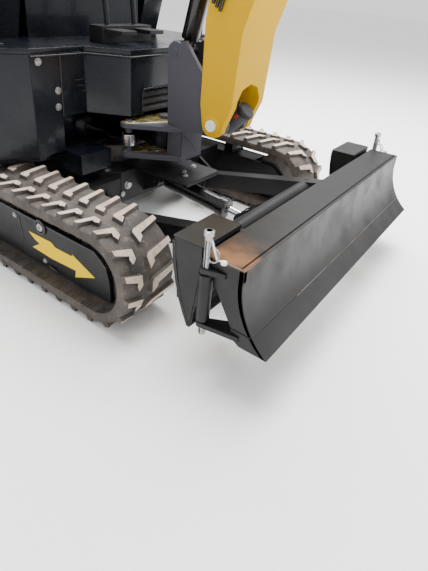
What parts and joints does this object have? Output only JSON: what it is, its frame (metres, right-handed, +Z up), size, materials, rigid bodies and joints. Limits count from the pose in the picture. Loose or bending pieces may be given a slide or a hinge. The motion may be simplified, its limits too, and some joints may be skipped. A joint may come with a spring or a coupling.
{
  "type": "mini excavator",
  "caption": "Compact digging machine on rubber tracks: slewing platform with a canopy, a swinging boom, arm and bucket on hydraulic cylinders, and a dozer blade with folding end wings.",
  "frame": {"origin": "on the ground under the middle of the machine's box, on its centre plane", "axes": "+X forward towards the dozer blade, +Y to the machine's left, +Z up"},
  "size_m": [2.7594, 1.088, 2.032],
  "materials": {
    "boom_yellow": "gloss orange-yellow paint",
    "cylinder_black": "gloss black paint",
    "rod_chrome": "polished",
    "satin_black_steel": "satin dark grey paint",
    "blade_black": "semi-gloss black paint",
    "house_blue_black": "gloss blue-black paint",
    "edge_steel": "worn dark steel",
    "wheel_steel": "dark bare casting",
    "hose_sleeve": "beige-grey woven hose sleeve",
    "grip_plastic": "black moulded grip",
    "track_rubber": "brown-grey worn rubber",
    "seat_vinyl": "black grained vinyl",
    "post_grey": "satin grey paint",
    "pin_zinc": "yellow-passivated zinc"
  },
  "bodies": {
    "undercarriage": {"blade_cylinder_guard": "satin_black_steel", "chassis": "satin_black_steel", "idler_left": "wheel_steel", "idler_right": "wheel_steel", "rubber_track_left": "track_rubber", "rubber_track_right": "track_rubber", "slew_ring": "wheel_steel", "sprocket_left": "wheel_steel", "sprocket_right": "wheel_steel", "track_frame_left": "satin_black_steel", "track_frame_right": "satin_black_steel"},
    "blade": {"blade_lift_frame": "blade_black", "cutting_edge": "edge_steel", "dozer_blade": "blade_black", "wing_pin_left": "pin_zinc", "wing_pin_right": "pin_zinc"},
    "wing_right": {"blade_wing_right": "blade_black"},
    "wing_left": {"blade_wing_left": "blade_black"},
    "blade_barrel": {"blade_cylinder_barrel": "cylinder_black"},
    "blade_rod": {"blade_cylinder_rod": "rod_chrome"},
    "house": {"canopy_frame": "satin_black_steel", "canopy_roof": "boom_yellow", "console_left": "house_blue_black", "console_right": "house_blue_black", "counterweight": "house_blue_black", "engine_block": "wheel_steel", "floor_plate": "satin_black_steel", "front_cover": "house_blue_black", "hose_coils": "hose_sleeve", "joystick_left": "grip_plastic", "joystick_right": "grip_plastic", "platform": "satin_black_steel", "seat_back": "seat_vinyl", "seat_base": "house_blue_black", "seat_cushion": "seat_vinyl", "side_cover_left": "house_blue_black", "side_cover_right": "house_blue_black", "travel_levers": "grip_plastic"},
    "hood": {"engine_hood": "house_blue_black"},
    "swing": {"swing_bracket": "post_grey"},
    "swing_barrel": {"swing_cylinder_barrel": "cylinder_black"},
    "swing_rod": {"swing_cylinder_rod": "rod_chrome"},
    "boom": {"boom": "boom_yellow"},
    "boom_barrel": {"boom_cylinder_barrel": "cylinder_black"},
    "boom_rod": {"boom_cylinder_rod": "rod_chrome"},
    "arm": {"arm": "boom_yellow"},
    "arm_barrel": {"arm_cylinder_barrel": "cylinder_black"},
    "arm_rod": {"arm_cylinder_rod": "rod_chrome"},
    "bucket": {"bucket": "blade_black"},
    "rocker": {"bucket_rocker": "blade_black"},
    "link": {"bucket_link": "blade_black"},
    "bucket_barrel": {"bucket_cylinder_barrel": "cylinder_black"},
    "bucket_rod": {"bucket_cylinder_rod": "rod_chrome"}
  },
  "joints": [
    {"name": "slew", "type": "hinge", "parent": "undercarriage", "child": "house", "pos_m": [-0.62965, 0, 0.29], "axis": [0, 0, 1], "continuous": true},
    {"name": "blade_lift", "type": "hinge", "parent": "undercarriage", "child": "blade", "pos_m": [-0.32965, 0, 0.115], "axis": [0, 1, 0], "range_deg": [-8, 18]},
    {"name": "wing_right_fold", "type": "hinge", "parent": "blade", "child": "wing_right", "pos_m": [0.23035, -0.505, 0.112], "axis": [0, 0, 1], "range_deg": [0, 180]},
    {"name": "wing_left_fold", "type": "hinge", "parent": "blade", "child": "wing_left", "pos_m": [0.23035, 0.505, 0.112], "axis": [0, 0, -1], "range_deg": [0, 180]},
    {"name": "engine_hood_lift", "type": "hinge", "parent": "house", "child": "hood", "pos_m": [-1.04265, 0, 0.88], "axis": [0, 1, 0], "range_deg": [0, 60]},
    {"name": "boom_swing", "type": "hinge", "parent": "house", "child": "swing", "pos_m": [-0.32965, 0, 0.29], "axis": [0, 0, 1], "range_deg": [-45, 50]},
    {"name": "boom_lift", "type": "hinge", "parent": "swing", "child": "boom", "pos_m": [-0.07965, 0, 0.443], "axis": [0, 1, 0], "range_deg": [-5, 70]},
    {"name": "arm_lift", "type": "hinge", "parent": "boom", "child": "arm", "pos_m": [0.53035, 0, 1.59], "axis": [0, -1, 0], "range_deg": [-55, 45]},
    {"name": "bucket_curl", "type": "hinge", "parent": "arm", "child": "bucket", "pos_m": [1.06068, 0, 1.05967], "axis": [0, 1, 0], "range_deg": [-60, 60]},
    {"name": "rocker_turn", "type": "hinge", "parent": "arm", "child": "rocker", "pos_m": [0.94754, 0, 1.17281], "axis": [0, 1, 0], "range_deg": [-60.5, 60.5]},
    {"name": "link_turn", "type": "hinge", "parent": "rocker", "child": "link", "pos_m": [1.02532, 0, 1.25059], "axis": [0, 1, 0], "range_deg": [-60.5, 60.5]},
    {"name": "blade_barrel_turn", "type": "hinge", "parent": "undercarriage", "child": "blade_barrel", "pos_m": [-0.33965, 0, 0.19], "axis": [0, 1, 0], "range_deg": [-7.98, 17.33]},
    {"name": "blade_rod_slide", "type": "slide", "parent": "blade_barrel", "child": "blade_rod", "axis": [0.9939, 0, -0.1104], "range_m": [-0.0109, 0.0233]},
    {"name": "swing_barrel_turn", "type": "hinge", "parent": "house", "child": "swing_barrel", "pos_m": [-0.84465, -0.14, 0.345], "axis": [0, 0, 1], "range_deg": [-3.25, 2.98]},
    {"name": "swing_rod_slide", "type": "slide", "parent": "swing_barrel", "child": "swing_rod", "axis": [0.9998, 0.021, 0], "range_m": [-0.0968, 0.1075]},
    {"name": "boom_barrel_turn", "type": "hinge", "parent": "swing", "child": "boom_barrel", "pos_m": [-0.24965, 0, 0.62], "axis": [0, 1, 0], "range_deg": [-5.59, 71.83]},
    {"name": "boom_rod_slide", "type": "slide", "parent": "boom_barrel", "child": "boom_rod", "axis": [0.2425, 0, 0.9701], "range_m": [-0.0211, 0.2819]},
    {"name": "arm_barrel_turn", "type": "hinge", "parent": "boom", "child": "arm_barrel", "pos_m": [0.07035, 0, 1.32], "axis": [0, -1, 0], "range_deg": [-5.12, 4.28]},
    {"name": "arm_rod_slide", "type": "slide", "parent": "arm_barrel", "child": "arm_rod", "axis": [0.6887, 0, 0.725], "range_m": [-0.1059, 0.1292]},
    {"name": "bucket_barrel_turn", "type": "hinge", "parent": "arm", "child": "bucket_barrel", "pos_m": [0.65409, 0, 1.61475], "axis": [0, 1, 0], "range_deg": [-0.62, 0.62]},
    {"name": "bucket_rod_slide", "type": "slide", "parent": "bucket_barrel", "child": "bucket_rod", "axis": [0.7139, 0, -0.7003], "range_m": [-0.0969, 0.0969]}
  ],
  "couplings": [
    {"joint": "rocker_turn", "follows": "bucket_curl", "ratio": 1},
    {"joint": "link_turn", "follows": "bucket_curl", "ratio": -1},
    {"joint": "blade_barrel_turn", "follows": "blade_lift", "ratio": 0.935},
    {"joint": "blade_rod_slide", "follows": "blade_lift", "m_per_rad": 0.0711},
    {"joint": "swing_barrel_turn", "follows": "boom_swing", "ratio": -0.055},
    {"joint": "swing_rod_slide", "follows": "boom_swing", "m_per_rad": 0.122},
    {"joint": "boom_barrel_turn", "follows": "boom_lift", "ratio": 1.019},
    {"joint": "boom_rod_slide", "follows": "boom_lift", "m_per_rad": 0.2299},
    {"joint": "arm_barrel_turn", "follows": "arm_lift", "ratio": 0.084},
    {"joint": "arm_rod_slide", "follows": "arm_lift", "m_per_rad": -0.1336},
    {"joint": "bucket_barrel_turn", "follows": "bucket_curl", "ratio": 0.002},
    {"joint": "bucket_rod_slide", "follows": "bucket_curl", "m_per_rad": 0.0916}
  ]
}
